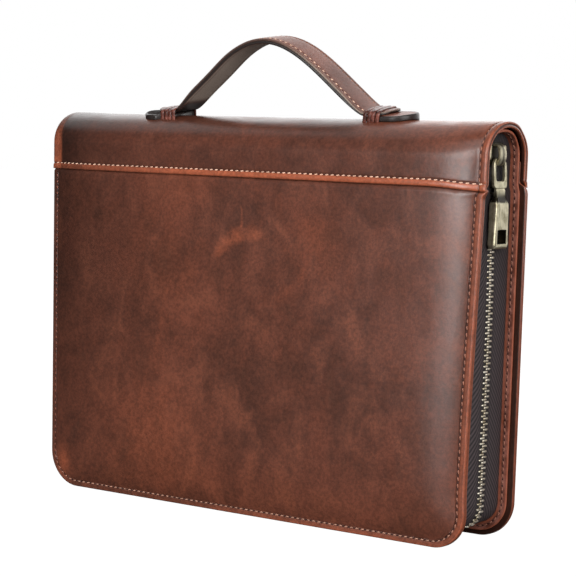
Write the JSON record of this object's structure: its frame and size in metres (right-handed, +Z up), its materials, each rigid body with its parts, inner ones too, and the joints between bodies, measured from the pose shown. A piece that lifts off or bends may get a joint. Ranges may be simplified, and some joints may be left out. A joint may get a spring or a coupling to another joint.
{
  "type": "zippered leather planner case",
  "caption": "Zippered pull-up leather planner case with padded covers, a wrapped spine band, a brass zip with a hanging pull and a strap handle on its spine.",
  "frame": {"origin": "middle of the footprint, on the surface that the case stands on", "axes": "+X along the spine towards the zip's slider, +Y from the front cover to the back cover, +Z up to the handle"},
  "size_m": [0.2624, 0.0462, 0.2363],
  "materials": {
    "pull_up_leather": "waxed pull-up leather, mottled and satin",
    "facing_leather": "waxed, matte",
    "handle_leather": "waxed, satin",
    "painted_edge_leather": "painted edge, glossy",
    "leather_thong": "cut lace, matte",
    "zip_tape": "woven twill",
    "antique_brass": "brushed antique brass"
  },
  "bodies": {
    "case": {"front_panel": "pull_up_leather", "back_panel": "pull_up_leather", "spine_band": "pull_up_leather", "edge_facing": "facing_leather", "zip_tape_front": "zip_tape", "zip_tape_back": "zip_tape", "zip_chain": "antique_brass", "handle_strap": "handle_leather", "handle_tab_left": "painted_edge_leather", "handle_wrap_left": "leather_thong", "handle_tab_right": "painted_edge_leather", "handle_wrap_right": "leather_thong", "zip_slider": "antique_brass"},
    "pull": {"zip_pull": "antique_brass"}
  },
  "joints": [
    {"name": "pull_swing", "type": "hinge", "parent": "case", "child": "pull", "pos_m": [0.1266, 0, 0.1795], "axis": [0, -1, 0], "range_deg": [0, 150]}
  ]
}
